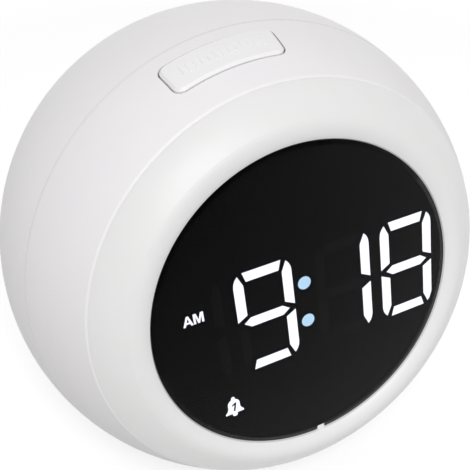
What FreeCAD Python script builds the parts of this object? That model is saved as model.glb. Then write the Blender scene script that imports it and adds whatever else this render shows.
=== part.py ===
import FreeCAD, Part
import math
import os
import re
import Sketcher
from FreeCAD import Placement, Rotation, Vector

# Ball-shaped LED alarm clock, millimetres, +Z up, its face towards -Y.
# The origin is the centre of the base, on the surface that the clock stands on.
# Pieces along the face axis are drawn with the ball's centre at their own origin and +Z out of the face.

doc = FreeCAD.newDocument("ball_clock")
sheet = doc.addObject("Spreadsheet::Sheet", "Sizes")

SIZES = {
    # Ball, its two seams and its base
    "ball_radius": 50.0,
    "shell_wall": 2.2,
    "front_seam": 28.64,
    "rear_seam": 13.2,
    "seam_groove": 0.25,
    "fit_gap": 0.25,
    "face_tilt": 17.0,
    "base_radius": 26.0,
    "floor_thick": 2.2,
    "spigot_depth": 2.0,
    "spigot_wall": 1.6,
    "shelf_inner": 37.6,
    "shelf_thick": 1.8,
    # Light-up ring round the face
    "lip_width": 2.63,
    "lip_height": 34.23,
    "lip_round": 3.31,
    "sleeve_wall": 1.4,
    "ring_wall": 2.2,
    "skirt_wall": 1.4,
    "skirt_depth": 2.6,
    "ring_post_radius": 2.2,
    # Lens and display stack
    "lens_radius": 30.94,
    "lens_front": 33.13,
    "lens_thick": 2.2,
    "lens_bevel": 0.9,
    "lens_bevel_drop": 0.28,
    "lens_gap": 0.21,
    "key_tab_width": 1.5,
    "key_tab_depth": 0.9,
    "tape_thick": 0.2,
    "tape_width": 0.7,
    "block_depth": 6.5,
    "block_gap": 0.3,
    "board_thick": 1.2,
    "light_guide_depth": 2.0,
    # Seven-segment digits
    "digit_half_width": 5.9,
    "digit_half_height": 10.6,
    "digit_stroke": 2.0,
    "digit_fit": 0.04,
    "segment_gap": 1.2,
    "segment_slant": 1.05,
    "tip_drop": 0.45,
    "shoulder_drop": 2.6,
    "tip_bulge": 0.2,
    "hour_tens_across": -22.4,
    "hour_units_across": -8.13,
    "minute_tens_across": 8.55,
    "minute_units_across": 22.85,
    "digits_up": -1.0,
    "colon_across": 0.12,
    "colon_spacing": 8.3,
    "colon_radius": 1.35,
    "morning_mark_across": -22.28,
    "morning_mark_up": 3.78,
    "mark_height": 2.1,
    "bell_across": -17.42,
    "bell_up": -18.23,
    "bell_height": 4.8,
    # Chassis and boards
    "chassis_thick": 3.0,
    "chassis_plate": 1.8,
    "chassis_rim": 29.6,
    "chassis_flat": 36.5,
    "standoff_length": 4.0,
    "standoff_radius": 2.6,
    "standoff_across": 20.0,
    "standoff_up": 18.0,
    "display_screw_across": 10.0,
    "display_screw_up": 22.5,
    "shelf_screw_circle": 39.8,
    "ring_screw_circle": 35.0,
    "main_board_radius": 31.0,
    "main_board_top": 27.0,
    "light_board_outer": 38.2,
    "light_led_circle": 35.8,
    "link_width": 20.0,
    "link_depth": 4.4,
    "link_up": -13.6,
    "chip_length": 0.7,
    "chip_width": 0.35,
    "chip_height": 0.3,
    "lamp_width": 2.6,
    "lamp_height": 1.4,
    "ring_screw_length": 7.0,
    "tab_gap": 0.15,
    "chip_side": 10.0,
    "chip_tall": 1.4,
    "chip_across": 3.0,
    "chip_up": 6.0,
    "crystal_radius": 1.5,
    "crystal_length": 8.0,
    "capacitor_radius": 3.15,
    "capacitor_height": 7.0,
    "capacitor_across": 16.0,
    "capacitor_pitch": 9.0,
    # Screws
    "screw_shank": 1.2,
    "screw_head": 2.1,
    "head_tall": 1.4,
    "screw_play": 0.25,
    # Snooze key, on top of the ball
    "key_setback": 8.46,
    "key_turn": 6.85,
    "key_half_angle": 13.6,
    "key_depth": 7.5,
    "key_corner": 1.7,
    "key_proud": 0.5,
    "key_bevel": 0.45,
    "key_gap": 0.3,
    "key_seat": 3.2,
    "key_tab_reach": 1.2,
    "key_tab_thick": 1.2,
    "key_post_radius": 1.8,
    "key_post_length": 2.4,
    "key_switch_height": 3.5,
    "key_switch_width": 6.0,
    "key_stem_radius": 1.75,
    "key_stem_show": 1.5,
    "key_stem_buried": 1.2,
    "key_travel": 0.6,
    "key_board_edge": 2.5,
    "key_board_depth": 8.6,
    "key_room_depth": 18.0,
    "key_boss_gap": 0.35,
    "key_pilot_depth": 6.0,
    # Rear control panel
    "panel_height": 44.5,
    "panel_thick": 2.0,
    "panel_radius": 21.0,
    "button_radius": 3.0,
    "button_gap": 0.2,
    "button_proud": 1.0,
    "button_flange": 3.8,
    "flange_thick": 1.2,
    "flange_gap": 0.3,
    "button_pitch": 9.2,
    "buttons_up": -5.5,
    "button_travel": 0.5,
    "tact_width": 4.6,
    "tact_height": 2.0,
    "tact_stem_radius": 1.0,
    "tact_stem_show": 0.8,
    "tact_stem_buried": 0.8,
    "rear_board_radius": 22.2,
    "rear_board_top": -2.2,
    "rear_post_across": 16.0,
    "rear_post_up": -12.0,
    "rear_post_low": -18.5,
    "rear_post_radius": 2.0,
    "rear_screw_length": 5.0,
    "slider_case": 3.5,
    "socket_width": 8.94,
    "socket_height": 3.26,
    "socket_wall": 0.3,
    "tongue_width": 6.7,
    "tongue_thick": 0.7,
    "socket_across": -6.0,
    "lower_row_up": -13.0,
    "socket_inset": 0.3,
    "slider_across": 7.0,
    "slider_width": 2.2,
    "slider_depth": 2.0,
    "slider_proud": 0.8,
    "slider_travel": 2.0,
    # Speaker
    "speaker_up": 9.5,
    "speaker_radius": 9.8,
    "speaker_cone": 7.9,
    "magnet_radius": 5.0,
    "magnet_thick": 2.5,
    "grille_hole": 0.7,
    "grille_pitch": 2.1,
    "clamp_reach": 13.2,
    "clamp_thick": 1.0,
    "flange_seat": 1.0,
    "basket_depth": 4.0,
    # Base pad and backup cell
    "pad_thick": 2.0,
    "pad_proud": 0.8,
    "pad_inner": 17.5,
    "pad_edge": 1.0,
    "base_screw_across": 12.5,
    "base_screw_back": -17.5,
    "base_boss_radius": 3.3,
    "base_boss_height": 5.5,
    "lug_height": 12.5,
    "lug_web_width": 3.0,
    "lug_web_reach": 4.5,
    "base_screw_bite": 4.0,
    "guide_wall": 1.2,
    "cell_play": 0.3,
    "contact_width": 5.0,
    "contact_thick": 0.5,
    "coin_slot_width": 1.8,
    "door_radius": 14.75,
    "door_thick": 1.6,
    "door_gap": 0.25,
    "ledge_thick": 1.9,
    "door_lug_reach": 1.5,
    "door_lug_thick": 1.1,
    "door_lug_angle": 30.0,
    "door_turn": 45.0,
    "cup_radius": 16.5,
    "cup_wall": 1.5,
    "cup_height": 8.6,
    "cell_radius": 10.0,
    "cell_thick": 3.2,
    "cell_rest": 4.6,
}

for row, (alias, number) in enumerate(SIZES.items(), start=1):
    sheet.set(f"A{row}", alias)
    sheet.set(f"B{row}", str(number))
    sheet.setAlias(f"B{row}", alias)
doc.recompute()


def formula(text):
    """A formula of sizes, written so that it reads each size from the sheet."""
    return re.sub(r"\b([a-z]+(?:_[a-z]+)+)\b", r"Sizes.\1", str(text))


def value(text):
    """The present value of a formula of sizes."""
    return float(sheet.evalExpression(formula(text)))


def bind(item, **formulas):
    for name, text in formulas.items():
        item.setExpression(name, formula(text))


def place(item, across="0", up="0", out="0"):
    """Hold an item's position to the sheet."""
    for axis, text in (("x", across), ("y", up), ("z", out)):
        item.setExpression(f"Placement.Base.{axis}", formula(text))


# Heights along the face axis, from the ball's centre outwards
LENS_BACK = "(lens_front - lens_thick)"
BLOCK_FRONT = f"({LENS_BACK} - tape_thick)"
DISPLAY_BOARD_FRONT = f"({BLOCK_FRONT} - block_depth)"
CHASSIS_FRONT = f"({DISPLAY_BOARD_FRONT} - board_thick)"
CHASSIS_BACK = f"({CHASSIS_FRONT} - chassis_thick)"
SHELF_BACK = f"({CHASSIS_BACK} - shelf_thick)"
MAIN_BOARD_FRONT = f"({CHASSIS_BACK} - standoff_length)"
MAIN_BOARD_BACK = f"({MAIN_BOARD_FRONT} - board_thick)"
PANEL_INSIDE = "(panel_thick - panel_height)"
REAR_BOARD = f"({PANEL_INSIDE} + flange_gap + flange_thick + tact_stem_show + tact_height)"

# Radii
SLEEVE_INNER = "(lens_radius + lens_gap)"
SLEEVE_OUTER = f"({SLEEVE_INNER} + sleeve_wall)"
BLOCK_RADIUS = f"({SLEEVE_INNER} - block_gap)"

# Heights above the surface that the clock stands on
BALL_CENTRE = "(pad_proud + sqrt(ball_radius^2 - base_radius^2))"
FLOOR_INSIDE = "(pad_proud + floor_thick)"
LEDGE_TOP = "(pad_proud + ledge_thick)"
CUP_TOP = "(pad_proud + cup_height)"
GUIDE_FOOT = "(cell_rest + cell_thick / 2 - 0.2)"
BASE_SEAT = "(pad_thick + 0.2 + head_tall)"
CLAMP_BACK = f"({PANEL_INSIDE} + flange_seat)"
LIP_PEAK = "(lens_radius + lip_width)"
SKIRT_OUTER = "(sqrt((ball_radius - shell_wall)^2 - front_seam^2) - fit_gap)"

# The snooze key's middle: its angle from the face axis, and how far its cap reaches to each side
KEY_POLAR = "(acos((front_seam - key_setback) / ball_radius) / 1 deg)"
APEX = f"(ball_radius * tan({KEY_POLAR} * 1 deg))"
KEY_HALF = f"({APEX} * sin(key_half_angle * cos({KEY_POLAR} * 1 deg) * 1 deg))"
KEY_BOSS = f"({KEY_HALF} + key_tab_reach + key_boss_gap + standoff_radius)"
KEY_BOARD_HALF = f"({KEY_BOSS} + key_board_edge)"

FACE = Placement(Vector(0, 0, value(BALL_CENTRE)), Rotation(Vector(1, 0, 0), 90 - value("face_tilt")))
STAND = Placement()
STAND_IN_FACE = FACE.inverse()
KEY_IN_FACE = Placement(
    Vector(0, 0, 0),
    Rotation(Vector(0, 0, 1), value("key_turn")) * Rotation(Vector(1, 0, 0), -value(KEY_POLAR)),
)
KEY = FACE * KEY_IN_FACE


def outer_at(height):
    """Radius of the ball's outside at a height along the face axis."""
    return f"sqrt(ball_radius^2 - ({height})^2)"


def inner_at(height):
    """Radius of the ball's inside at a height along the face axis."""
    return f"sqrt((ball_radius - shell_wall)^2 - ({height})^2)"


def box(name, width, depth, height, across="0", up="0", out="0"):
    """A block centred across and up, rising from its given height."""
    item = doc.addObject("Part::Box", name)
    bind(item, Length=width, Width=depth, Height=height)
    place(item, f"({across}) - ({width}) / 2", f"({up}) - ({depth}) / 2", out)
    return item


def cylinder(name, radius, height, across="0", up="0", out="0"):
    item = doc.addObject("Part::Cylinder", name)
    bind(item, Radius=radius, Height=height)
    place(item, across, up, out)
    return item


def sector(name, radius, height, out, middle, spread):
    """A pie slice about the Z axis, centred on one angle."""
    item = doc.addObject("Part::Cylinder", name)
    bind(item, Radius=radius, Height=height, Angle=spread)
    start = value(f"({middle}) - ({spread}) / 2")
    item.Placement = Placement(Vector(0, 0, 0), Rotation(Vector(0, 0, 1), start))
    item.setExpression("Placement.Base.z", formula(out))
    return item


def sphere(name, radius):
    """A ball about the origin, with its poles to the sides and its seam underneath."""
    item = doc.addObject("Part::Sphere", name)
    bind(item, Radius=radius)
    item.Placement = Placement(Vector(0, 0, 0), Rotation(Vector(0, 1, 0), 90))
    return item


def moved(item, placement):
    item.Placement = placement
    return item


def fuse(name, *shapes):
    item = doc.addObject("Part::MultiFuse", name)
    item.Shapes = list(shapes)
    return item


def common(name, *shapes):
    item = doc.addObject("Part::MultiCommon", name)
    item.Shapes = list(shapes)
    return item


def cut(name, base, *tools):
    item = doc.addObject("Part::Cut", name)
    item.Base = base
    item.Tool = tools[0] if len(tools) == 1 else fuse(f"{name}_tools", *tools)
    return item


def tube(name, outer, inner, height, across="0", up="0", out="0"):
    whole = cylinder(f"{name}_outside", outer, height, across, up, out)
    hole = cylinder(f"{name}_inside", inner, height, across, up, out)
    return cut(name, whole, hole)


def arc_through(start, end, radius):
    """The short arc between two points; a positive radius turns left on the way."""
    chord = end - start
    middle = (start + end) * 0.5
    left = Vector(-chord.y, chord.x, 0).normalize()
    reach = math.sqrt(radius**2 - (chord.Length / 2) ** 2)
    centre = middle + left * math.copysign(reach, radius)
    first, last = (start, end) if radius > 0 else (end, start)
    circle = Part.Circle(centre, Vector(0, 0, 1), abs(radius))
    return Part.ArcOfCircle(circle, circle.parameter(first), circle.parameter(last))


def outline(sketch, corners):
    """A closed outline. A corner is (across, up), or (across, up, radius) where an arc arrives at it."""
    points = [Vector(value(c[0]), value(c[1]), 0) for c in corners]
    count = len(corners)
    ends = []
    for i, start in enumerate(points):
        following = corners[(i + 1) % count]
        end = points[(i + 1) % count]
        if len(following) == 3:
            radius = value(following[2])
            piece = sketch.addGeometry(arc_through(start, end, radius))
            bound = sketch.addConstraint(Sketcher.Constraint("Radius", piece, abs(radius)))
            sketch.setExpression(f"Constraints[{bound}]", formula(f"abs({following[2]})"))
            ends.append((piece, 1, 2) if radius > 0 else (piece, 2, 1))
        else:
            piece = sketch.addGeometry(Part.LineSegment(start, end))
            ends.append((piece, 1, 2))
    for i, (piece, _, last) in enumerate(ends):
        after, first, _ = ends[(i + 1) % count]
        sketch.addConstraint(Sketcher.Constraint("Coincident", piece, last, after, first))
    for (piece, first, _), corner in zip(ends, corners):
        for kind, text in (("DistanceX", corner[0]), ("DistanceY", corner[1])):
            if value(text) == 0:
                axis = -2 if kind == "DistanceX" else -1
                sketch.addConstraint(Sketcher.Constraint("PointOnObject", piece, first, axis))
                continue
            bound = sketch.addConstraint(Sketcher.Constraint(kind, -1, 1, piece, first, value(text)))
            sketch.setExpression(f"Constraints[{bound}]", formula(text))


def new_sketch(body, name, role):
    sketch = body.newObject("Sketcher::SketchObject", name)
    plane = [item for item in body.Origin.OriginFeatures if item.Role == role][0]
    sketch.AttachmentSupport = (plane, [""])
    sketch.MapMode = "FlatFace"
    return sketch


def turned(name, corners):
    """A body of revolution from its half section, each corner a radius and a height."""
    body = doc.addObject("PartDesign::Body", name)
    section = new_sketch(body, f"{name}_section", "XZ_Plane")
    outline(section, corners)
    turn = body.newObject("PartDesign::Revolution", f"{name}_turn")
    turn.Profile = section
    turn.ReferenceAxis = (section, ["V_Axis"])
    turn.Angle = 360
    return body


def padded(name, corners, thickness, out="0"):
    """A flat plate from its outline, rising from its given height."""
    body = doc.addObject("PartDesign::Body", name)
    face = new_sketch(body, f"{name}_face", "XY_Plane")
    outline(face, corners)
    face.setExpression("AttachmentOffset.Base.z", formula(out))
    pad = body.newObject("PartDesign::Pad", f"{name}_pad")
    pad.Profile = face
    bind(pad, Length=thickness)
    return body


def dress(body, kind, size, choose):
    """Round or bevel the edges of a body's last feature that are chosen by their shape."""
    doc.recompute()
    last = body.Tip
    edges = [f"Edge{n}" for n, edge in enumerate(last.Shape.Edges, start=1) if choose(edge)]
    feature = body.newObject(f"PartDesign::{kind}", f"{body.Name}_{kind.lower()}")
    feature.Base = (last, edges)
    bind(feature, **{"Radius" if kind == "Fillet" else "Size": size})
    return body


def circle_at(height, radius):
    """Chooses the round edge at one height and radius."""
    def choose(edge):
        return (
            edge.Curve.TypeId == "Part::GeomCircle"
            and abs(edge.Curve.Center.z - value(height)) < 0.001
            and abs(edge.Curve.Radius - value(radius)) < 0.001
        )
    return choose


def framed(name, placement, *shapes):
    """Shapes drawn in one frame, gathered and stood in another."""
    item = doc.addObject("Part::Compound", name)
    item.Links = list(shapes)
    item.Placement = placement
    return item


def block_outline(width, depth):
    return [
        (f"-{width} / 2", f"-{depth} / 2"),
        (f"{width} / 2", f"-{depth} / 2"),
        (f"{width} / 2", f"{depth} / 2"),
        (f"-{width} / 2", f"{depth} / 2"),
    ]


def rounded_slot(name, grow, height, out):
    """The round-ended outline of the power socket, made larger all round."""
    radius = f"(socket_height / 2 + {grow})"
    reach = "(socket_width / 2 - socket_height / 2)"
    middle = box(
        f"{name}_middle", f"2 * {reach}", f"2 * {radius}", height, "socket_across", "lower_row_up", out,
    )
    left = cylinder(f"{name}_left", radius, height, f"socket_across - {reach}", "lower_row_up", out)
    right = cylinder(f"{name}_right", radius, height, f"socket_across + {reach}", "lower_row_up", out)
    return fuse(name, middle, left, right)


def grille_places():
    """Rings of 6, 12 and 18 sound holes round a middle one."""
    places = [("0", "speaker_up")]
    for ring in (1, 2, 3):
        for step in range(6 * ring):
            angle = 60 * step / ring
            reach = f"{ring} * grille_pitch"
            places.append((f"{reach} * cos({angle} deg)", f"speaker_up + {reach} * sin({angle} deg)"))
    return places


def ring_shoulder():
    """The arc from the front seam, tangent to the ball there, that runs on into the round of the lip.

    Returns its radius and the point where the two arcs meet."""
    seam = Vector(value(outer_at("front_seam")), value("front_seam"), 0)
    lip = Vector(value(LIP_PEAK), value("lip_height - lip_round"), 0)
    round_lip = value("lip_round")
    away = seam - lip
    outward = Vector(seam).normalize()
    radius = (away.Length**2 - round_lip**2) / (2 * (outward.dot(away) - round_lip))
    centre = seam - outward * radius
    meeting = lip + (lip - centre).normalize() * round_lip
    return radius, meeting


def flat(points, across=0, up=0):
    """A flat face from its corners, moved to its place."""
    corners = [Vector(x + across, y + up, 0) for x, y in points]
    return Part.Face(Part.makePolygon(corners + corners[:1]))


def solids_from(faces, out, depth):
    """Each face made into a solid that rises from one height."""
    solids = []
    for face in faces:
        solid = face.extrude(Vector(0, 0, value(depth)))
        solid.translate(Vector(0, 0, value(out)))
        solids.append(solid)
    return solids


def grown(face, clearance):
    """A face made larger all round, with its corners kept sharp."""
    return face.makeOffset2D(clearance, join=2) if clearance else face


def mirrored(points, across, up):
    """An outline mirrored left to right, top to bottom or both, still running the same way round."""
    turned_round = [(x * across, y * up) for x, y in points]
    return turned_round if across * up > 0 else turned_round[::-1]


def digit_outlines():
    """The seven segments of one digit about its own centre, by their usual letters."""
    wide = value("digit_half_width")
    tall = value("digit_half_height")
    stroke = value("digit_stroke")
    inner = wide - stroke
    half = stroke / 2
    gap = value("segment_gap")
    tip_at = tall - value("tip_drop")
    shoulder_at = tall - value("shoulder_drop")
    bulge = value("tip_bulge")
    foot = inner - gap / 2
    top = [(-foot, tall - stroke), (foot, tall - stroke), (inner, tall), (-inner, tall)]
    rounded = [
        (wide - half * share + bulge, shoulder_at + (tip_at - shoulder_at) * share + bulge / 2)
        for share in (1 / 3, 2 / 3)
    ]
    side = [
        (wide, gap / 2),
        (wide, shoulder_at),
        *rounded,
        (wide - half, tip_at),
        (inner, shoulder_at),
        (inner, gap / 2 + value("segment_slant")),
    ]
    tip = wide - gap
    middle = [(tip, 0), (foot, half), (-foot, half), (-tip, 0), (-foot, -half), (foot, -half)]
    return {
        "a": top,
        "b": side,
        "c": mirrored(side, 1, -1),
        "d": mirrored(top, 1, -1),
        "e": mirrored(side, -1, -1),
        "f": mirrored(side, -1, 1),
        "g": middle,
    }


def segment_faces(choice, clearance="0"):
    """The chosen segments of each digit as flat faces."""
    outlines = digit_outlines()
    return [
        grown(flat(outlines[letter], value(across), value("digits_up")), value(clearance))
        for across, letters in choice.items()
        for letter in letters
    ]


def disc_face(radius, across, up):
    return Part.Face(Part.Wire(Part.makeCircle(radius, Vector(across, up, 0))))


def dot_faces(clearance="0"):
    radius = value("colon_radius") + value(clearance)
    half = value("colon_spacing / 2")
    return [disc_face(radius, value("colon_across"), value("digits_up") + side * half) for side in (1, -1)]


LETTER_A = [(0, 0), (0.24, 0), (0.32, 0.22), (0.70, 0.22), (0.78, 0), (1.02, 0), (0.62, 1), (0.40, 1)]
LETTER_A_HOLE = [(0.39, 0.40), (0.63, 0.40), (0.51, 0.76)]
LETTER_M = [
    (0, 0), (0.22, 0), (0.22, 0.70), (0.42, 0), (0.60, 0), (0.80, 0.70), (0.80, 0),
    (1.02, 0), (1.02, 1), (0.72, 1), (0.51, 0.35), (0.30, 1), (0, 1),
]


def letter_corner(number):
    """The lower left corner of each of the two letters of the morning mark."""
    tall = value("mark_height")
    across = value("morning_mark_across") + (number - 1) * 0.98 * tall
    return across, value("morning_mark_up") - tall / 2


def letter_faces():
    tall = value("mark_height")
    faces = []
    for number, points in enumerate((LETTER_A, LETTER_M)):
        scaled = [(x * 0.93 * tall, y * tall) for x, y in points]
        face = flat(scaled, *letter_corner(number))
        if number == 0:
            hole = [(x * 0.93 * tall, y * tall) for x, y in LETTER_A_HOLE]
            face = face.cut(flat(hole, *letter_corner(number))).Faces[0]
        faces.append(face)
    return faces


def letter_cells():
    """The outer outlines of the two letters, which share their light."""
    fit = value("digit_fit")
    return [grown(Part.Face(face.OuterWire), fit) for face in letter_faces()]


def bell_outline(tall):
    """A bell with a knob on top and a clapper below, about its own centre."""
    def at(x, y):
        return Vector(x * tall, y * tall, 0)
    edges = [
        Part.makeLine(at(-0.40, -0.30), at(0.40, -0.30)),
        Part.makeLine(at(0.40, -0.30), at(0.40, -0.22)),
        Part.Arc(at(0.40, -0.22), at(0.30, -0.12), at(0.26, 0.02)).toShape(),
        Part.makeLine(at(0.26, 0.02), at(0.26, 0.12)),
        Part.Arc(at(0.26, 0.12), at(0, 0.39), at(-0.26, 0.12)).toShape(),
        Part.makeLine(at(-0.26, 0.12), at(-0.26, 0.02)),
        Part.Arc(at(-0.26, 0.02), at(-0.30, -0.12), at(-0.40, -0.22)).toShape(),
        Part.makeLine(at(-0.40, -0.22), at(-0.40, -0.30)),
    ]
    body = Part.Face(Part.Wire(edges))
    knob = disc_face(0.085 * tall, 0, 0.42 * tall)
    clapper = disc_face(0.11 * tall, 0, -0.34 * tall)
    return body.fuse([knob, clapper]).removeSplitter().Faces[0]


def bell_cell():
    face = grown(Part.Face(bell_outline(value("bell_height")).OuterWire), value("digit_fit"))
    face.translate(Vector(value("bell_across"), value("bell_up"), 0))
    return face


def bell_faces():
    """The bell with a slanting figure one left dark in its middle."""
    tall = value("bell_height")
    figure = [
        (-0.05, -0.19), (0.03, -0.19), (0.12, 0.20), (0.05, 0.20), (-0.09, 0.11), (-0.08, 0.05), (0.02, 0.09),
    ]
    face = bell_outline(tall).cut(flat([(x * tall, y * tall) for x, y in figure])).Faces[0]
    face.translate(Vector(value("bell_across"), value("bell_up"), 0))
    return [face]


def ring_places(circle, angles):
    """Points on a circle about the face axis."""
    return [
        (f"({circle}) * cos({angle} deg)", f"({circle}) * sin({angle} deg)")
        for angle in angles
    ]


def corner_places(across, up):
    return [
        (f"{side} * ({across})", f"{rise} * ({up})")
        for side in (1, -1)
        for rise in (1, -1)
    ]


def holes(name, radius, height, places, out):
    return [
        cylinder(f"{name}_{n}", radius, height, across, up, out)
        for n, (across, up) in enumerate(places, start=1)
    ]


def group(name, solids):
    """Identical small pieces kept together, each still its own solid."""
    item = doc.addObject("Part::Feature", name)
    item.Shape = Part.makeCompound(solids)
    return item


def screws(name, length, places, seat, way=1):
    """Pan-head screws with a cross recess; way 1 drives them up, -1 down."""
    axis = Vector(0, 0, way)
    solids = []
    for across, up in places:
        at = Vector(value(across), value(up), value(seat))
        tall = value("head_tall")
        head = Part.makeCylinder(value("screw_head"), tall, at - axis * tall, axis)
        head = head.makeFillet(tall / 3, [
            edge for edge in head.Edges
            if edge.Closed and abs((edge.CenterOfMass - at).dot(axis) + tall) < 0.01
        ])
        shank = Part.makeCylinder(value("screw_shank"), value(length), at, axis)
        slot_long = value("screw_head")
        slot_wide = value("screw_head") / 5
        recess_at = at - axis * (value("head_tall") * 1.01)
        one = Part.makeBox(slot_long, slot_wide, value("head_tall") / 2)
        two = Part.makeBox(slot_wide, slot_long, value("head_tall") / 2)
        lift = 0 if way > 0 else -value("head_tall") / 2
        one.translate(recess_at - Vector(slot_long / 2, slot_wide / 2, -lift))
        two.translate(recess_at - Vector(slot_wide / 2, slot_long / 2, -lift))
        solids.append(head.fuse(shank).removeSplitter().cut(one.fuse(two)).Solids[0])
    return group(name, solids)


NODES = []


def node(item, label, frame):
    """Name a finished piece and stand it in the clock."""
    if item.TypeId in ("Part::Box", "Part::Cylinder"):
        item = framed(f"{label}_piece", Placement(), item)
    item.Label = label
    item.Placement = frame
    NODES.append(item)
    return item


SHELF_SCREWS = ring_places("shelf_screw_circle", (20, 160, 200, 340))
RING_SCREWS = ring_places("ring_screw_circle", (45, 135, 225, 315))
DISPLAY_SCREWS = corner_places("display_screw_across", "display_screw_up")
STANDOFFS = corner_places("standoff_across", "standoff_up")
BASE_SCREWS = [("base_screw_across", "base_screw_back"), ("-base_screw_across", "base_screw_back")]
KEY_BOSSES = [(KEY_BOSS, "0"), (f"-{KEY_BOSS}", "0")]
REAR_POSTS = [
    ("rear_post_across", "rear_post_up"),
    ("-rear_post_across", "rear_post_up"),
    ("0", "rear_post_low"),
]
BUTTON_PLACES = {
    "mode": ("-1.5 * button_pitch", "buttons_up"),
    "alarm": ("-0.5 * button_pitch", "buttons_up"),
    "down": ("0.5 * button_pitch", "buttons_up"),
    "up": ("1.5 * button_pitch", "buttons_up"),
}
CLAMP_SCREWS = [("clamp_reach", "speaker_up"), ("-clamp_reach", "speaker_up")]
CLEAR_HOLE = "screw_shank + screw_play"
PILOT_HOLE = "screw_shank"

# The time on show, nine eighteen, and the segments that stay dark
LIT = {"hour_units_across": "abcdfg", "minute_tens_across": "bc", "minute_units_across": "abcdefg"}
UNLIT = {"hour_tens_across": "bc", "hour_units_across": "e", "minute_tens_across": "adefg"}

# Snooze key outline: a band between two parallels of the ball, centred on its own radius
KEY_ROOT = "(ball_radius - shell_wall - key_seat)"
KEY_BOARD = f"({KEY_ROOT} - key_post_length - key_stem_show - key_switch_height - board_thick)"


def key_outline(grow):
    """The key's outline, seen along its travel, made larger all round by a clearance."""
    near = f"({APEX} - key_depth / 2 - ({grow}))"
    far = f"({APEX} + key_depth / 2 + ({grow}))"
    swing = f"(key_half_angle * cos({KEY_POLAR} * 1 deg) * 1 deg)"
    wide_near = f"({near} * sin({swing}) + ({grow}))"
    wide_far = f"({far} * sin({swing}) + ({grow}))"
    tall_near = f"(sqrt({near}^2 - {wide_near}^2) - {APEX})"
    tall_far = f"(sqrt({far}^2 - {wide_far}^2) - {APEX})"
    return [
        (f"-{wide_near}", tall_near),
        (wide_near, tall_near, f"-{near}"),
        (wide_far, tall_far),
        (f"-{wide_far}", tall_far, far),
    ]


def upright(edge):
    """Chooses the straight edges along Z."""
    ends = [vertex.Point for vertex in edge.Vertexes]
    return len(ends) == 2 and (ends[1] - ends[0]).cross(Vector(0, 0, 1)).Length < 0.001


def key_prism(name, grow, bottom, height):
    prism = padded(name, key_outline(grow), height, bottom)
    return dress(prism, "Fillet", f"key_corner + ({grow})", upright)


# Middle shell: a white band of the ball between the two seams. It holds the snooze key, an inner
# shelf for the chassis, a spigot that the rear shell slides over and two lugs for the base screws.
band = turned("band_wall", [
    (outer_at("rear_seam + seam_groove"), "rear_seam + seam_groove"),
    (outer_at("front_seam - seam_groove"), "front_seam - seam_groove", "ball_radius"),
    (f"{outer_at('front_seam')} - seam_groove", "front_seam"),
    (inner_at("front_seam"), "front_seam"),
    (inner_at(CHASSIS_BACK), CHASSIS_BACK, "-(ball_radius - shell_wall)"),
    ("shelf_inner", CHASSIS_BACK),
    ("shelf_inner", SHELF_BACK),
    (f"{inner_at('rear_seam')} - fit_gap - spigot_wall", SHELF_BACK),
    (f"{inner_at('rear_seam')} - fit_gap - spigot_wall", "rear_seam - spigot_depth"),
    (f"{inner_at('rear_seam')} - fit_gap", "rear_seam - spigot_depth"),
    (f"{inner_at('rear_seam')} - fit_gap", "rear_seam"),
    (f"{outer_at('rear_seam')} - seam_groove", "rear_seam"),
])
key_opening = moved(key_prism("key_opening", "key_gap", KEY_BOARD, "ball_radius"), KEY_IN_FACE)
key_room = common(
    "key_room",
    box("key_room_block", f"2 * {KEY_BOARD_HALF} + 2", "key_room_depth", "ball_radius", "0", "0", KEY_BOARD),
    sphere("key_room_ball", "ball_radius - shell_wall"),
)
key_room.Placement = KEY_IN_FACE
key_bosses = common(
    "key_bosses",
    fuse(
        "key_boss_rods",
        *holes("key_boss", "standoff_radius", "ball_radius", KEY_BOSSES, f"{KEY_BOARD} + board_thick"),
    ),
    sphere("key_boss_ball", "ball_radius - shell_wall / 2"),
)
key_boss_holes = fuse(
    "key_boss_holes",
    *holes("key_boss_hole", PILOT_HOLE, "key_pilot_depth", KEY_BOSSES, f"{KEY_BOARD} + board_thick"),
)
lug_rods = []
lug_pilots = []
for side, (across, back) in zip(("right", "left"), BASE_SCREWS):
    foot = "(pad_proud + base_boss_height)"
    rod = cylinder(f"{side}_lug_rod", "base_boss_radius - 0.2", f"lug_height - {foot}", across, back, foot)
    web = box(
        f"{side}_lug_web", "lug_web_width", "2 * lug_web_reach", f"lug_height - {foot} - 1.5",
        across, f"{back} - lug_web_reach", f"{foot} + 1.5",
    )
    lug_rods.extend([rod, web])
    lug_pilots.append(cylinder(f"{side}_lug_pilot", PILOT_HOLE, "base_screw_bite + 1.5", across, back, foot))
lugs = common(
    "lugs",
    fuse("lug_blocks", *lug_rods),
    moved(sphere("lug_ball", "ball_radius - shell_wall - fit_gap - 0.1"), Placement(FACE.Base, Rotation())),
)
lugs.Placement = STAND_IN_FACE
lug_holes = moved(fuse("lug_holes", *lug_pilots), STAND_IN_FACE)
key_bosses.Placement = KEY_IN_FACE
key_boss_holes.Placement = KEY_IN_FACE
band_open = cut(
    "band_open", band, key_opening, key_room,
    *holes("shelf_hole", CLEAR_HOLE, "shelf_thick + 1", SHELF_SCREWS, f"{SHELF_BACK} - 0.5"),
)
node(
    cut("mid_shell", fuse("band_with_bosses", band_open, key_bosses, lugs), key_boss_holes, lug_holes),
    "mid_shell", FACE,
)

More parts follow.
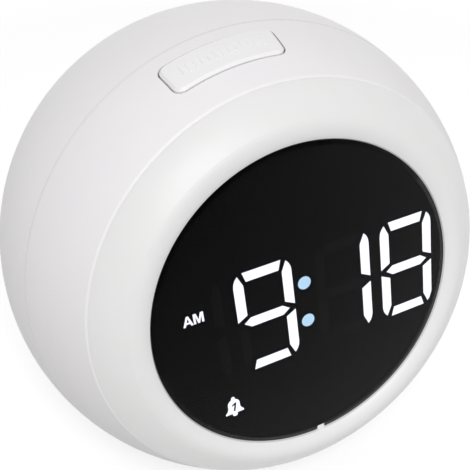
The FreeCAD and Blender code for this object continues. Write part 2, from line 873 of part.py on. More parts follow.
# Rear shell: the back of the ball with a flat foot, an inset round control panel, a cup for the
# backup cell, and seats for the rear board and the speaker.
rear_outside = turned("rear_outside", [
    ("0", "-panel_height"),
    ("panel_radius", "-panel_height"),
    ("panel_radius", f"-{outer_at('panel_radius')}"),
    (outer_at("rear_seam - seam_groove"), "rear_seam - seam_groove", "ball_radius"),
    (f"{outer_at('rear_seam')} - seam_groove", "rear_seam"),
    ("0", "rear_seam"),
])
rear_inside = turned("rear_inside", [
    ("0", PANEL_INSIDE),
    (inner_at(PANEL_INSIDE), PANEL_INSIDE),
    (inner_at("rear_seam"), "rear_seam", "ball_radius - shell_wall"),
    (inner_at("rear_seam"), "rear_seam + 1"),
    ("0", "rear_seam + 1"),
])
BIG = "3 * ball_radius"
below_stand = framed(
    "below_stand", STAND_IN_FACE, box("stand_block", BIG, BIG, BIG, out=f"pad_proud - {BIG}"),
)
below_floor = framed(
    "below_floor", STAND_IN_FACE, box("floor_block", BIG, BIG, BIG, out=f"{FLOOR_INSIDE} - {BIG}"),
)
rear_hollow = cut("rear_hollow", rear_inside, below_floor)
rear_wall = cut("rear_wall", rear_outside, rear_hollow, below_stand)

# The cup takes a bayonet door from below; its ceiling carries a guide ring round the cell.
cup_block = cylinder(
    "cup_block", "cup_radius + cup_wall", f"{CUP_TOP} + cup_wall - pad_proud", out="pad_proud",
)
cell_guide = cut(
    "cell_guide",
    tube("guide_ring", "cell_radius + guide_wall + cell_play", "cell_radius + cell_play",
         f"{CUP_TOP} - {GUIDE_FOOT} + 1", out=GUIDE_FOOT),
    box("guide_gap", "2 * cell_radius", "contact_width + 1", BIG, "cell_radius", "0", "0"),
)
cup_hollow = cut(
    "cup_hollow",
    cylinder("cup_space", "cup_radius", f"{CUP_TOP} - {LEDGE_TOP}", out=LEDGE_TOP),
    cell_guide,
)
door_way = cylinder("door_way", "door_radius + door_gap", "ledge_thick + 2", out="pad_proud - 1")
LUG_WAY = ("door_radius + door_lug_reach + door_gap", "ledge_thick + 2", "pad_proud - 1")
door_entries = [
    sector("door_entry_one", *LUG_WAY, "door_turn", "door_lug_angle + 6"),
    sector("door_entry_two", *LUG_WAY, "door_turn + 180", "door_lug_angle + 6"),
]
base_bosses = holes(
    "base_boss", "base_boss_radius", "base_boss_height - 0.5", BASE_SCREWS, "pad_proud + 0.5",
)
base_clears = holes("base_clear", CLEAR_HOLE, "base_boss_height + 2", BASE_SCREWS, "pad_proud - 1")
base_sinks = holes("base_sink", "screw_head + screw_play", f"{BASE_SEAT} + 1", BASE_SCREWS, "-1")
pad_groove = tube(
    "pad_groove", "base_radius - pad_edge", "pad_inner - door_gap", "pad_thick + 1", out="-1",
)
rear_posts = holes("rear_post", "rear_post_radius", f"{REAR_BOARD} - {PANEL_INSIDE} + 0.5", REAR_POSTS,
                   f"{PANEL_INSIDE} - 0.5")
rear_pilots = holes(
    "rear_pilot", PILOT_HOLE, "rear_screw_length", REAR_POSTS, f"{REAR_BOARD} - rear_screw_length + 1",
)
clamp_posts = holes(
    "clamp_post", "rear_post_radius", "flange_seat + 0.5", CLAMP_SCREWS, f"{PANEL_INSIDE} - 0.5",
)
clamp_pilots = holes("clamp_pilot", PILOT_HOLE, "flange_seat + 1.2", CLAMP_SCREWS, f"{PANEL_INSIDE} - 1")
button_ways = holes("button_way", "button_radius + button_gap", "2 * panel_thick", BUTTON_PLACES.values(),
                    "-panel_height - 1")
grille = holes("grille", "grille_hole", "2 * panel_thick", grille_places(), "-panel_height - 1")
socket_way = rounded_slot("socket_way", "button_gap", "2 * panel_thick", "-panel_height - 1")
slider_way = box(
    "slider_way", "slider_width + slider_travel + 2 * button_gap", "slider_depth + 2 * button_gap",
    "2 * panel_thick", "slider_across", "lower_row_up", "-panel_height - 1",
)
rear_solid = fuse(
    "rear_solid", rear_wall, framed("cup_in_face", STAND_IN_FACE, cup_block),
    framed("bosses_in_face", STAND_IN_FACE, *base_bosses), *rear_posts, *clamp_posts,
)
node(
    cut(
        "rear_shell", rear_solid,
        framed("cup_ways", STAND_IN_FACE, cup_hollow), framed("door_ways", STAND_IN_FACE, door_way),
        framed("entry_ways", STAND_IN_FACE, *door_entries),
        framed("screw_ways", STAND_IN_FACE, *base_clears),
        framed("sink_ways", STAND_IN_FACE, *base_sinks), framed("groove_ways", STAND_IN_FACE, pad_groove),
        *rear_pilots, *clamp_pilots, *button_ways, *grille, socket_way, slider_way,
    ),
    "rear_shell", FACE,
)

# Front ring: a milky light-up ring. It leaves the ball's curve at the front seam, rounds over a lip
# and runs down a sleeve beside the lens, with a small tab at six o'clock that keys the lens.
shoulder, meeting = ring_shoulder()
ring_edge = value(f"lip_height - lip_round + sqrt(lip_round^2 - ({LIP_PEAK} - {SLEEVE_INNER})^2)")
skirt_inner = f"({SKIRT_OUTER} - skirt_wall)"
ring_wall = turned("ring_section", [
    (outer_at("front_seam + seam_groove"), "front_seam + seam_groove"),
    (meeting.x, meeting.y, shoulder),
    (SLEEVE_INNER, ring_edge, "lip_round"),
    (SLEEVE_INNER, CHASSIS_FRONT),
    (SLEEVE_OUTER, CHASSIS_FRONT),
    (SLEEVE_OUTER, "lip_height - ring_wall"),
    (f"{LIP_PEAK} + 0.6", "lip_height - ring_wall"),
    (skirt_inner, "front_seam + 0.7"),
    (skirt_inner, "front_seam - skirt_depth"),
    (SKIRT_OUTER, "front_seam - skirt_depth"),
    (SKIRT_OUTER, "front_seam"),
    (f"{outer_at('front_seam')} - seam_groove", "front_seam"),
])
ring_posts = holes(
    "ring_post", "ring_post_radius", f"lip_height - ring_wall - 0.5 - {CHASSIS_FRONT}", RING_SCREWS,
    CHASSIS_FRONT,
)
ring_pilots = holes(
    "ring_pilot", PILOT_HOLE, "ring_screw_length - chassis_thick + 0.6", RING_SCREWS, CHASSIS_FRONT,
)
key_tab = box(
    "key_tab", "key_tab_width", "key_tab_depth + lens_gap + sleeve_wall / 2", "lens_thick - 0.3",
    "0", "-(lens_radius + lens_gap + sleeve_wall / 2 - (key_tab_depth + lens_gap + sleeve_wall / 2) / 2)",
    LENS_BACK,
)
ring_solid = fuse("ring_solid", ring_wall, key_tab, *ring_posts)
node(cut("front_ring", ring_solid, *ring_pilots), "front_ring", FACE)

# Lens: a dark glossy disc with a bevelled rim and a notch for the ring's tab.
lens_disc = turned("lens_disc", [
    ("0", LENS_BACK),
    ("lens_radius", LENS_BACK),
    ("lens_radius", "lens_front - lens_bevel_drop"),
    ("lens_radius - lens_bevel", "lens_front"),
    ("0", "lens_front"),
])
lens_notch = box(
    "lens_notch", "key_tab_width + 2 * tab_gap", "2 * (key_tab_depth + tab_gap)", "2 * lens_thick",
    "0", "-lens_radius", f"{LENS_BACK} - 1",
)
node(cut("display_lens", lens_disc, lens_notch), "display_lens", FACE)
node(
    tube("lens_tape", BLOCK_RADIUS, f"{BLOCK_RADIUS} - tape_width", "tape_thick", out=BLOCK_FRONT),
    "lens_tape", FACE,
)

# Display block: a black moulding with one open cell per segment and mark, each cell closed at the
# front by a clear light guide.
cells = [
    *segment_faces(LIT, "digit_fit"), *segment_faces(UNLIT, "digit_fit"),
    *dot_faces("digit_fit"), *letter_cells(), bell_cell(),
]
cell_tools = group("cell_tools", solids_from(cells, f"{DISPLAY_BOARD_FRONT} - 1", "block_depth + 2"))
letter_well = box(
    "letter_well", "2 * mark_height + 0.3", "mark_height + 0.3", "block_depth - light_guide_depth + 1",
    "morning_mark_across", "morning_mark_up", f"{DISPLAY_BOARD_FRONT} - 1",
)
block_pilots = holes(
    "block_pilot", PILOT_HOLE, "block_depth - 2", DISPLAY_SCREWS, f"{DISPLAY_BOARD_FRONT} - 0.1",
)
block_disc = cylinder("block_disc", BLOCK_RADIUS, "block_depth", out=DISPLAY_BOARD_FRONT)
block_solid = cut("block_solid", cut("block_cells", block_disc, cell_tools, *block_pilots), letter_well)
node(block_solid, "display_block", FACE)
GUIDE_BACK = f"{BLOCK_FRONT} - light_guide_depth"
for label, faces in (
    ("lit_segments", segment_faces(LIT)),
    ("unlit_segments", segment_faces(UNLIT)),
    ("colon_dots", dot_faces()),
    ("morning_mark", letter_faces()),
    ("alarm_mark", bell_faces()),
):
    guides = group(f"{label}_guides", solids_from(faces, GUIDE_BACK, "light_guide_depth"))
    node(guides, label, FACE)

# Display board: one chip of light behind each cell.
node(
    cut(
        "display_board",
        cylinder("display_board_disc", BLOCK_RADIUS, "board_thick", out=CHASSIS_FRONT),
        *holes("display_board_hole", CLEAR_HOLE, "board_thick + 2", DISPLAY_SCREWS, f"{CHASSIS_FRONT} - 1"),
    ),
    "display_board", FACE,
)
chips = []
for face in cells:
    chip = Part.makeBox(value("chip_length"), value("chip_width"), value("chip_height"))
    corner = Vector(value("chip_length") / 2, value("chip_width") / 2, -value(DISPLAY_BOARD_FRONT))
    chip.translate(face.CenterOfMass - corner)
    chips.append(chip)
node(group("display_chips", chips), "display_leds", FACE)

# Chassis: a round moulded plate on the middle shell's shelf. It carries both display boards, the
# front ring and, on four standoffs, the main board.
chassis_plate = turned("chassis_section", [
    ("0", CHASSIS_BACK),
    (f"{inner_at(CHASSIS_FRONT)} - fit_gap", CHASSIS_BACK),
    (f"{inner_at(CHASSIS_FRONT)} - fit_gap", CHASSIS_FRONT),
    ("chassis_rim", CHASSIS_FRONT),
    ("chassis_rim", f"{CHASSIS_BACK} + chassis_plate"),
    ("0", f"{CHASSIS_BACK} + chassis_plate"),
])
chassis_solid = fuse(
    "chassis_solid", chassis_plate,
    *holes("standoff", "standoff_radius", "standoff_length + 0.5", STANDOFFS, MAIN_BOARD_FRONT),
    *holes(
        "display_spacer", "standoff_radius", "chassis_thick - 0.5", DISPLAY_SCREWS, f"{CHASSIS_BACK} + 0.5",
    ),
)
node(
    cut(
        "chassis", chassis_solid,
        box("link_window", "link_width + 1", "link_depth + 1", "3 * chassis_thick", "0", "link_up",
            f"{CHASSIS_BACK} - 1"),
        box("key_flat", BIG, "ball_radius", "3 * chassis_thick", "0", "chassis_flat + ball_radius / 2",
            f"{CHASSIS_BACK} - 1"),
        *holes("display_way", CLEAR_HOLE, "3 * chassis_thick", DISPLAY_SCREWS, f"{CHASSIS_BACK} - 1"),
        *holes("ring_way", CLEAR_HOLE, "3 * chassis_thick", RING_SCREWS, f"{CHASSIS_BACK} - 1"),
        *holes("shelf_pilot", PILOT_HOLE, "chassis_thick - 0.4 + 1", SHELF_SCREWS, f"{CHASSIS_BACK} - 1"),
        *holes("standoff_pilot", PILOT_HOLE, "standoff_length", STANDOFFS, f"{MAIN_BOARD_FRONT} - 0.1"),
    ),
    "chassis", FACE,
)
node(
    screws("shelf_screws", "shelf_thick + chassis_thick - 0.6", SHELF_SCREWS, SHELF_BACK),
    "chassis_screws", FACE,
)
node(screws("ring_screws", "ring_screw_length", RING_SCREWS, CHASSIS_BACK), "ring_screws", FACE)
node(
    screws("block_screws", "chassis_thick + board_thick + block_depth - 2.6", DISPLAY_SCREWS, CHASSIS_BACK),
    "display_screws", FACE,
)
node(
    screws("main_screws", "board_thick + standoff_length - 0.6", STANDOFFS, MAIN_BOARD_BACK),
    "main_board_screws", FACE,
)

# Night-light board: a ring of lamps under the front ring, notched round the ring's screw posts.
node(
    cut(
        "light_board",
        tube(
            "light_board_ring", "light_board_outer", f"{SLEEVE_OUTER} + fit_gap", "board_thick",
            out=CHASSIS_FRONT,
        ),
        *holes(
            "post_notch", "ring_post_radius + fit_gap", "board_thick + 2", RING_SCREWS,
            f"{CHASSIS_FRONT} - 1",
        ),
    ),
    "light_board", FACE,
)
lamps = []
for step in range(12):
    lamp = Part.makeBox(value("lamp_width"), value("lamp_width"), value("lamp_height"))
    inner_edge = value("light_led_circle - lamp_width / 2")
    lamp_seat = value(f"{CHASSIS_FRONT} + board_thick")
    lamp.translate(Vector(inner_edge, -value("lamp_width") / 2, lamp_seat))
    lamp.rotate(Vector(0, 0, 0), Vector(0, 0, 1), 30 * step)
    lamps.append(lamp)
node(group("night_lamps", lamps), "light_leds", FACE)

# Main board, with its parts on the side towards the back of the clock.
main_disc = cylinder("main_board_disc", "main_board_radius", "board_thick", out=MAIN_BOARD_BACK)
node(
    cut(
        "main_board", main_disc,
        box(
            "main_board_flat", BIG, "ball_radius", "3 * board_thick",
            "0", "main_board_top + ball_radius / 2", f"{MAIN_BOARD_BACK} - 1",
        ),
        *holes("main_board_hole", CLEAR_HOLE, "board_thick + 2", STANDOFFS, f"{MAIN_BOARD_BACK} - 1"),
    ),
    "main_board", FACE,
)
link_block = box(
    "link_block", "link_width", "link_depth", f"{CHASSIS_FRONT} - {MAIN_BOARD_FRONT}",
    "0", "link_up", MAIN_BOARD_FRONT,
)
node(link_block, "board_link", FACE)
chip_block = box(
    "controller", "chip_side", "chip_side", "chip_tall",
    "chip_across", "chip_up", f"{MAIN_BOARD_BACK} - chip_tall",
)
node(chip_block, "controller_chip", FACE)
crystal = cylinder("crystal_can", "crystal_radius", "crystal_length")
crystal.Placement = Placement(Vector(0, 0, 0), Rotation(Vector(0, 1, 0), 90))
place(crystal, "chip_across + chip_side / 2 + 4", "chip_up - 2", f"{MAIN_BOARD_BACK} - crystal_radius")
node(framed("clock_crystal", Placement(), crystal), "clock_crystal", FACE)
capacitor_places = [("-capacitor_across", "chip_up"), ("-capacitor_across", "chip_up - capacitor_pitch")]
cans = holes(
    "capacitor", "capacitor_radius", "capacitor_height", capacitor_places,
    f"{MAIN_BOARD_BACK} - capacitor_height",
)
node(framed("capacitor_pair", Placement(), *cans), "capacitors", FACE)

# Snooze key: a curved cap flush with the ball's parallels, standing a little proud with bevelled
# edges, held from inside by a tab at each end and sprung by the switch under its post.
cap = common("key_cap", key_prism("key_blank", "0", KEY_ROOT, "ball_radius / 2"),
             sphere("key_ball", "ball_radius + key_proud"))
doc.recompute()
bevel = doc.addObject("Part::Chamfer", "key_bevelled")
bevel.Base = cap
bevel.Edges = [
    (n, value("key_bevel"), value("key_bevel"))
    for n, edge in enumerate(cap.Shape.Edges, start=1)
    if all(abs(point.Length - value("ball_radius + key_proud")) < 0.01 for point in edge.discretize(7))
]
key_tabs = box(
    "key_tabs", f"2 * ({KEY_HALF} + key_tab_reach)", "key_depth - 1", "key_tab_thick", out=KEY_ROOT,
)
key_post = cylinder("key_post", "key_post_radius", "key_post_length", out=f"{KEY_ROOT} - key_post_length")
node(fuse("snooze_key", bevel, key_tabs, key_post), "snooze_key", KEY)
node(
    cut(
        "snooze_board",
        box("snooze_board_plate", f"2 * {KEY_BOARD_HALF}", "key_board_depth", "board_thick", out=KEY_BOARD),
        *holes("snooze_board_hole", CLEAR_HOLE, "board_thick + 2", KEY_BOSSES, f"{KEY_BOARD} - 1"),
    ),
    "snooze_board", KEY,
)
KEY_SWITCH_TOP = f"({KEY_ROOT} - key_post_length - key_stem_show)"
node(
    cut(
        "snooze_switch",
        box("snooze_switch_block", "key_switch_width", "key_switch_width", "key_switch_height",
            out=f"{KEY_BOARD} + board_thick"),
        cylinder("snooze_stem_way", "key_stem_radius + 0.1", "key_stem_buried + key_travel + 0.3",
                 out=f"{KEY_SWITCH_TOP} - key_stem_buried - key_travel - 0.2"),
    ),
    "snooze_switch", KEY,
)
node(cylinder("snooze_stem_rod", "key_stem_radius", "key_stem_show + key_stem_buried",
              out=f"{KEY_SWITCH_TOP} - key_stem_buried"), "snooze_stem", KEY)
node(screws("snooze_screws", "board_thick + 4", KEY_BOSSES, KEY_BOARD), "snooze_board_screws", KEY)

# Rear board behind the control panel, with the switches, the power socket and the slide switch.
rear_disc = cylinder("rear_board_disc", "rear_board_radius", "board_thick", out=REAR_BOARD)
node(
    cut(
        "rear_board", rear_disc,
        box(
            "rear_board_flat", BIG, "ball_radius", "3 * board_thick",
            "0", "rear_board_top + ball_radius / 2", f"{REAR_BOARD} - 1",
        ),
        *holes("rear_board_hole", CLEAR_HOLE, "board_thick + 2", REAR_POSTS, f"{REAR_BOARD} - 1"),
    ),
    "rear_board", FACE,
)
node(
    screws("rear_screws", "rear_screw_length", REAR_POSTS, f"{REAR_BOARD} + board_thick", -1),
    "rear_board_screws", FACE,
)
TACT_FACE = f"({REAR_BOARD} - tact_height)"
tact_switches = []
for name, (across, up) in BUTTON_PLACES.items():
    block = box(f"{name}_tact_block", "tact_width", "tact_width", "tact_height", across, up, TACT_FACE)
    way = cylinder(f"{name}_stem_way", "tact_stem_radius + 0.1", "tact_stem_buried + button_travel + 0.2",
                   across, up, f"{TACT_FACE} - 0.1")
    tact_switches.append(cut(f"{name}_tact", block, way))
node(framed("tact_switches", Placement(), *tact_switches), "button_switches", FACE)
for name, (across, up) in BUTTON_PLACES.items():
    here = FACE * Placement(Vector(value(across), value(up), 0), Rotation())
    node(
        cylinder(f"{name}_stem_rod", "tact_stem_radius", "tact_stem_show + tact_stem_buried",
                 out=f"{TACT_FACE} - tact_stem_show"),
        f"{name}_stem", here,
    )
    cap = turned(f"{name}_cap", [
        ("0", "-panel_height - button_proud"),
        ("button_radius", "-panel_height - button_proud"),
        ("button_radius", f"{PANEL_INSIDE} + flange_gap"),
        ("button_flange", f"{PANEL_INSIDE} + flange_gap"),
        ("button_flange", f"{PANEL_INSIDE} + flange_gap + flange_thick"),
        ("0", f"{PANEL_INSIDE} + flange_gap + flange_thick"),
    ])
    dress(cap, "Fillet", "button_proud / 2", circle_at("-panel_height - button_proud", "button_radius"))
    node(cap, f"{name}_button", here)

SOCKET_MOUTH = "(socket_inset - panel_height)"
SOCKET_DEPTH = f"({REAR_BOARD} - {SOCKET_MOUTH})"
node(
    cut(
        "power_socket",
        rounded_slot("socket_outside", "0", SOCKET_DEPTH, SOCKET_MOUTH),
        rounded_slot("socket_inside", "-socket_wall", SOCKET_DEPTH, f"{SOCKET_MOUTH} - 1"),
    ),
    "power_socket", FACE,
)
tongue_block = box(
    "tongue_block", "tongue_width", "tongue_thick", f"{SOCKET_DEPTH} - 1.6",
    "socket_across", "lower_row_up", f"{SOCKET_MOUTH} + 0.6",
)
node(tongue_block, "socket_tongue", FACE)
SLIDER_CASE = f"({REAR_BOARD} - slider_case)"
node(
    cut(
        "slide_switch",
        box(
            "slider_block", "slider_width + slider_travel + 4.6", "slider_depth + 1.6", "slider_case",
            "slider_across", "lower_row_up", SLIDER_CASE,
        ),
        box(
            "slider_channel", "slider_width + slider_travel + 0.2", "slider_depth + 0.2",
            "slider_case / 2 + 1", "slider_across", "lower_row_up", f"{SLIDER_CASE} - 1",
        ),
    ),
    "slide_switch", FACE,
)
slider_knob = padded(
    "alarm_slider", block_outline("slider_width", "slider_depth"),
    f"{SLIDER_CASE} + slider_case / 2 - 0.2 + panel_height + slider_proud",
    "-panel_height - slider_proud",
)
dress(slider_knob, "Fillet", "slider_depth / 8", upright)
slider_rest = Vector(value("slider_across - slider_travel / 2"), value("lower_row_up"), 0)
node(slider_knob, "alarm_slider", FACE * Placement(slider_rest, Rotation()))

# Speaker behind the grille, held down by a clamp with two screws.
SPEAKER = FACE * Placement(Vector(0, value("speaker_up"), value(PANEL_INSIDE)), Rotation())
node(turned("speaker_frame", [
    ("speaker_cone + 0.2", "0"),
    ("speaker_radius", "0"),
    ("speaker_radius", "flange_seat"),
    ("speaker_radius - 1", "flange_seat"),
    ("magnet_radius + 0.6", "basket_depth"),
    ("magnet_radius + 0.6", "basket_depth + 0.6"),
    ("0", "basket_depth + 0.6"),
    ("0", "basket_depth"),
    ("magnet_radius", "basket_depth"),
    ("speaker_cone + 0.2", "flange_seat - 0.1"),
]), "speaker_frame", SPEAKER)
node(turned("speaker_cone", [
    ("0", "1.4"),
    ("magnet_radius / 2", "2.1"),
    ("speaker_cone - 0.9", "0.4"),
    ("speaker_cone", "0.4"),
    ("speaker_cone", "0.8"),
    ("speaker_cone - 0.8", "0.8"),
    ("magnet_radius / 2", "2.6"),
    ("0", "1.9"),
]), "speaker_cone", SPEAKER)
magnet_disc = cylinder("magnet_disc", "magnet_radius", "magnet_thick", out="basket_depth + 0.6")
node(magnet_disc, "speaker_magnet", SPEAKER)
node(
    cut(
        "clamp",
        fuse(
            "clamp_solid",
            cylinder("clamp_ring", "speaker_radius + 1.2", "clamp_thick", "0", "speaker_up", CLAMP_BACK),
            box(
                "clamp_ears", "2 * (clamp_reach + rear_post_radius)", "2 * rear_post_radius + 1",
                "clamp_thick", "0", "speaker_up", CLAMP_BACK,
            ),
        ),
        cylinder(
            "clamp_hole", "speaker_radius - 0.8", "3 * clamp_thick", "0", "speaker_up", f"{CLAMP_BACK} - 1",
        ),
        *holes("clamp_way", CLEAR_HOLE, "3 * clamp_thick", CLAMP_SCREWS, f"{CLAMP_BACK} - 1"),
    ),
    "speaker_clamp", FACE,
)
node(
    screws(
        "clamp_screws", "clamp_thick + flange_seat + 0.8", CLAMP_SCREWS, f"{CLAMP_BACK} + clamp_thick", -1,
    ),
    "speaker_screws", FACE,
)

# Base: a soft ring under the foot that hides the two screws joining the shells, and a bayonet door
# under the backup cell.
node(tube("base_pad", "base_radius - pad_edge - fit_gap", "pad_inner", "pad_thick"), "base_pad", STAND)
BASE_SCREW_LENGTH = f"pad_proud + base_boss_height - {BASE_SEAT} + base_screw_bite"
node(screws("shell_screws", BASE_SCREW_LENGTH, BASE_SCREWS, BASE_SEAT), "base_screws", STAND)
DOOR_RIM = ("door_radius - 1.8", f"{LEDGE_TOP} + door_gap + door_lug_thick - pad_proud - door_thick")
door_lugs = [
    sector(
        f"door_lug_{turn}", "door_radius + door_lug_reach", "door_lug_thick", f"{LEDGE_TOP} + door_gap",
        turn, "door_lug_angle",
    )
    for turn in (0, 180)
]
node(
    cut(
        "battery_door",
        fuse(
            "door_solid",
            cylinder("door_disc", "door_radius", f"door_thick + {DOOR_RIM[1]}", out="pad_proud"),
            *door_lugs,
        ),
        cylinder("door_hollow", DOOR_RIM[0], "ball_radius", out="pad_proud + door_thick"),
        box("coin_slot", "door_radius", "coin_slot_width", "1 + door_thick / 2", out="pad_proud - 1"),
    ),
    "battery_door", STAND,
)
cushion_disc = cylinder(
    "cushion_disc", "cell_radius - 2", "cell_rest - 0.1 - pad_proud - door_thick",
    out="pad_proud + door_thick",
)
node(cushion_disc, "cell_cushion", STAND)
node(turned("backup_cell", [
    ("0", "cell_rest"),
    ("cell_radius - 0.9", "cell_rest"),
    ("cell_radius - 0.9", "cell_rest + 0.3"),
    ("cell_radius", "cell_rest + 0.3"),
    ("cell_radius", "cell_rest + cell_thick"),
    ("0", "cell_rest + cell_thick"),
]), "backup_cell", STAND)
node(turned("top_contact", [
    ("0", "cell_rest + cell_thick + 0.05"),
    ("1.2", "cell_rest + cell_thick + 0.05"),
    ("2.6", f"{CUP_TOP} - 0.3"),
    ("6", f"{CUP_TOP} - 0.3"),
    ("6", CUP_TOP),
    ("0", CUP_TOP),
]), "cell_top_contact", STAND)
side_contact = box(
    "side_contact", "contact_thick", "contact_width", f"{CUP_TOP} - cell_rest - 0.6",
    "cell_radius + 0.4", "0", "cell_rest + 0.6",
)
node(side_contact, "cell_side_contact", STAND)

doc.recompute()
problems = [f"{item.Name} {item.State}" for item in doc.Objects if {"Invalid", "Error"} & set(item.State)]
for item in NODES:
    if item.Shape.isNull() or not item.Shape.isValid() or not item.Shape.Solids:
        problems.append(f"{item.Label} has no sound shape")
labels = [item.Label for item in NODES]
if len(set(labels)) != len(labels) or any(label[-1].isdigit() for label in labels):
    problems.append("two pieces share a name")
if problems:
    raise SystemExit("\n".join(problems))

os.makedirs("parts", exist_ok=True)
for item in NODES:
    item.Shape.exportStep(f"parts/{item.Label}.step")
    print(item.Label, len(item.Shape.Solids), "solids", round(item.Shape.Volume, 1), "mm3")
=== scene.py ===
import math

import bmesh
import bpy
from mathutils import Matrix, Vector


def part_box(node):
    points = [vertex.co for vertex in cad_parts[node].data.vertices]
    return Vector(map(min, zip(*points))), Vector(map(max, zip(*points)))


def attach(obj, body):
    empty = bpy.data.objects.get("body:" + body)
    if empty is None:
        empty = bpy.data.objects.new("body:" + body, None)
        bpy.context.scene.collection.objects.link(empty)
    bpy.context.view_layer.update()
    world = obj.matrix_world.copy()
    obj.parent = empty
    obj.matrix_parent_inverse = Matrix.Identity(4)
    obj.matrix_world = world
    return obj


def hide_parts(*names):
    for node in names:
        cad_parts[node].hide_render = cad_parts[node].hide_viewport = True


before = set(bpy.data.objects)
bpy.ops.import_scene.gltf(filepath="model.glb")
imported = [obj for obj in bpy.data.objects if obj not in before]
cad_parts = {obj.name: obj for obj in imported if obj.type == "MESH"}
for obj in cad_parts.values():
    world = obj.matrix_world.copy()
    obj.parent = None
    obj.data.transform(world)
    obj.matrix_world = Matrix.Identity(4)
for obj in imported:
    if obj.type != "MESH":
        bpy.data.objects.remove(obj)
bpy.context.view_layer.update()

# A ball-shaped bedside alarm clock, in metres, with +Z up and its face towards -Y and leaning back.
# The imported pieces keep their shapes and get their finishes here. The raised bars on the key, the
# two soft pieces and the studio are made here.


# Middle and rear shells: two parts of one ball, injection moulded in white ABS from tools with a
# fine spark-eroded texture, slid over each other and joined by two screws under the foot. The seams,
# where they meet and at the front ring's foot, are measured along the face axis.
MM = 0.001
BALL_CENTRE = Vector((0, 0, 43.508 * MM))
FACE_TILT = math.radians(17)
FACE_AXIS = Vector((0, -math.cos(FACE_TILT), math.sin(FACE_TILT)))
REAR_SEAM = 13.2 * MM
FRONT_SEAM = 28.64 * MM
SEAM_BAND = 1 * MM
OUTER_SKIN = 49.2 * MM
SKIN_LEAN = 0.97
SHINE_SPREAD = 0.08


def linear(colour):
    """An sRGB hex colour as the linear colour that a shader takes."""
    parts = [int(colour[i:i + 2], 16) / 255 for i in (1, 3, 5)]
    return (*[p / 12.92 if p <= 0.04045 else ((p + 0.055) / 1.055) ** 2.4 for p in parts], 1.0)


def add(tree, kind, settings=None, links=None):
    """Adds a node. Settings are sockets, by name or number, or properties; links feed sockets."""
    node = tree.nodes.new(kind)
    for name, value in (settings or {}).items():
        if isinstance(name, int) or name in node.inputs:
            node.inputs[name].default_value = value
        else:
            setattr(node, name, value)
    for name, source in (links or {}).items():
        tree.links.new(source, node.inputs[name])
    return node


def blank(name):
    """A new material that has no nodes yet."""
    made = bpy.data.materials.new(name)
    made.use_nodes = True
    made.node_tree.nodes.clear()
    return made


def finish_of(name, colour, shade, grain, bump, shine, blotch=6.0):
    """A moulded, plated or sprayed finish: two close colours in soft blotches, a fine grain in the
    surface, and a shine that varies a little with the grain. grain is the grain's spacing, bump its
    depth and blotch the blotches' width, all in millimetres. shine is set on the shader itself."""
    made = blank(name)
    tree = made.node_tree
    place = add(tree, "ShaderNodeTexCoord").outputs["Object"]
    cloud = add(
        tree, "ShaderNodeTexNoise",
        {"Scale": 1 / (blotch * MM), "Detail": 2.0}, {"Vector": place},
    )
    tint = add(
        tree, "ShaderNodeMix",
        {"data_type": "RGBA", 6: linear(colour), 7: linear(shade)}, {0: cloud.outputs["Fac"]},
    )
    speck = add(
        tree, "ShaderNodeTexNoise",
        {"Scale": 1 / (grain * MM), "Detail": 3.0}, {"Vector": place},
    )
    rough = shine["Roughness"]
    gloss = add(
        tree, "ShaderNodeMapRange",
        {"To Min": rough * (1 - SHINE_SPREAD), "To Max": rough * (1 + SHINE_SPREAD)},
        {"Value": speck.outputs["Fac"]},
    )
    relief = add(
        tree, "ShaderNodeBump",
        {"Strength": 1.0, "Distance": bump * MM}, {"Height": speck.outputs["Fac"]},
    )
    shader = add(
        tree, "ShaderNodeBsdfPrincipled",
        {socket: value for socket, value in shine.items() if socket != "Roughness"},
        {"Base Color": tint.outputs[2], "Roughness": gloss.outputs[0], "Normal": relief.outputs[0]},
    )
    add(tree, "ShaderNodeOutputMaterial", {}, {"Surface": shader.outputs[0]})
    return made


def coat(made, *names):
    """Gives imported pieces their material."""
    for name in names:
        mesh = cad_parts[name].data
        mesh.materials.clear()
        mesh.materials.append(made)


def coat_some(made, name, chosen):
    """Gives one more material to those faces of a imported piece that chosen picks."""
    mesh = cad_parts[name].data
    mesh.materials.append(made)
    slot = len(mesh.materials) - 1
    for face in mesh.polygons:
        if chosen(face):
            face.material_index = slot


def beside(seam, face):
    """Says whether a face belongs to the rounded edges along a seam, and not to the ball's skin."""
    out = face.center - BALL_CENTRE
    near = out.length > OUTER_SKIN and abs(out.dot(FACE_AXIS) - seam) < SEAM_BAND
    return near and face.normal.dot(out.normalized()) < SKIN_LEAN


# The texture scatters light evenly, so the ball shades softly with no highlight. It is 0.01 mm deep,
# and its 0.35 mm spacing is coarser than the real 0.1 mm so that it can show.
moulded_white = finish_of(
    "textured_abs_white", "#EFEDEE", "#ECEAEC", grain=0.35, bump=0.010,
    shine={"Roughness": 0.55, "IOR": 1.53},
)
coat(moulded_white, "mid_shell", "rear_shell")

# The rounded edges along the seams are painted darker, as painted shade that tones down their
# highlight: the rear one a soft grey, for the shade in its hairline, the front one only a touch darker.
rear_seam_shade = finish_of(
    "rear_seam_painted_shade", "#D8D6D7", "#D4D2D4", grain=0.35, bump=0.010,
    shine={"Roughness": 0.6, "IOR": 1.53},
)
front_seam_shade = finish_of(
    "front_seam_painted_shade", "#EDEBEC", "#EAE8EA", grain=0.35, bump=0.010,
    shine={"Roughness": 0.55, "IOR": 1.53},
)
for name in ("mid_shell", "rear_shell"):
    coat_some(rear_seam_shade, name, lambda face: beside(REAR_SEAM, face))
    coat_some(front_seam_shade, name, lambda face: beside(FRONT_SEAM, face))

# Front ring: the night light's diffuser with its rounded lip, injection moulded in milky
# polycarbonate and screwed to the chassis from behind. The slope's foot and top are distances from
# the face axis.
SLOPE_FOOT = 31.15 * MM
SLOPE_TOP = 34.4 * MM
RING_GLOW = 0.10
SLOPE_PAINTED_GLOW = 0.33
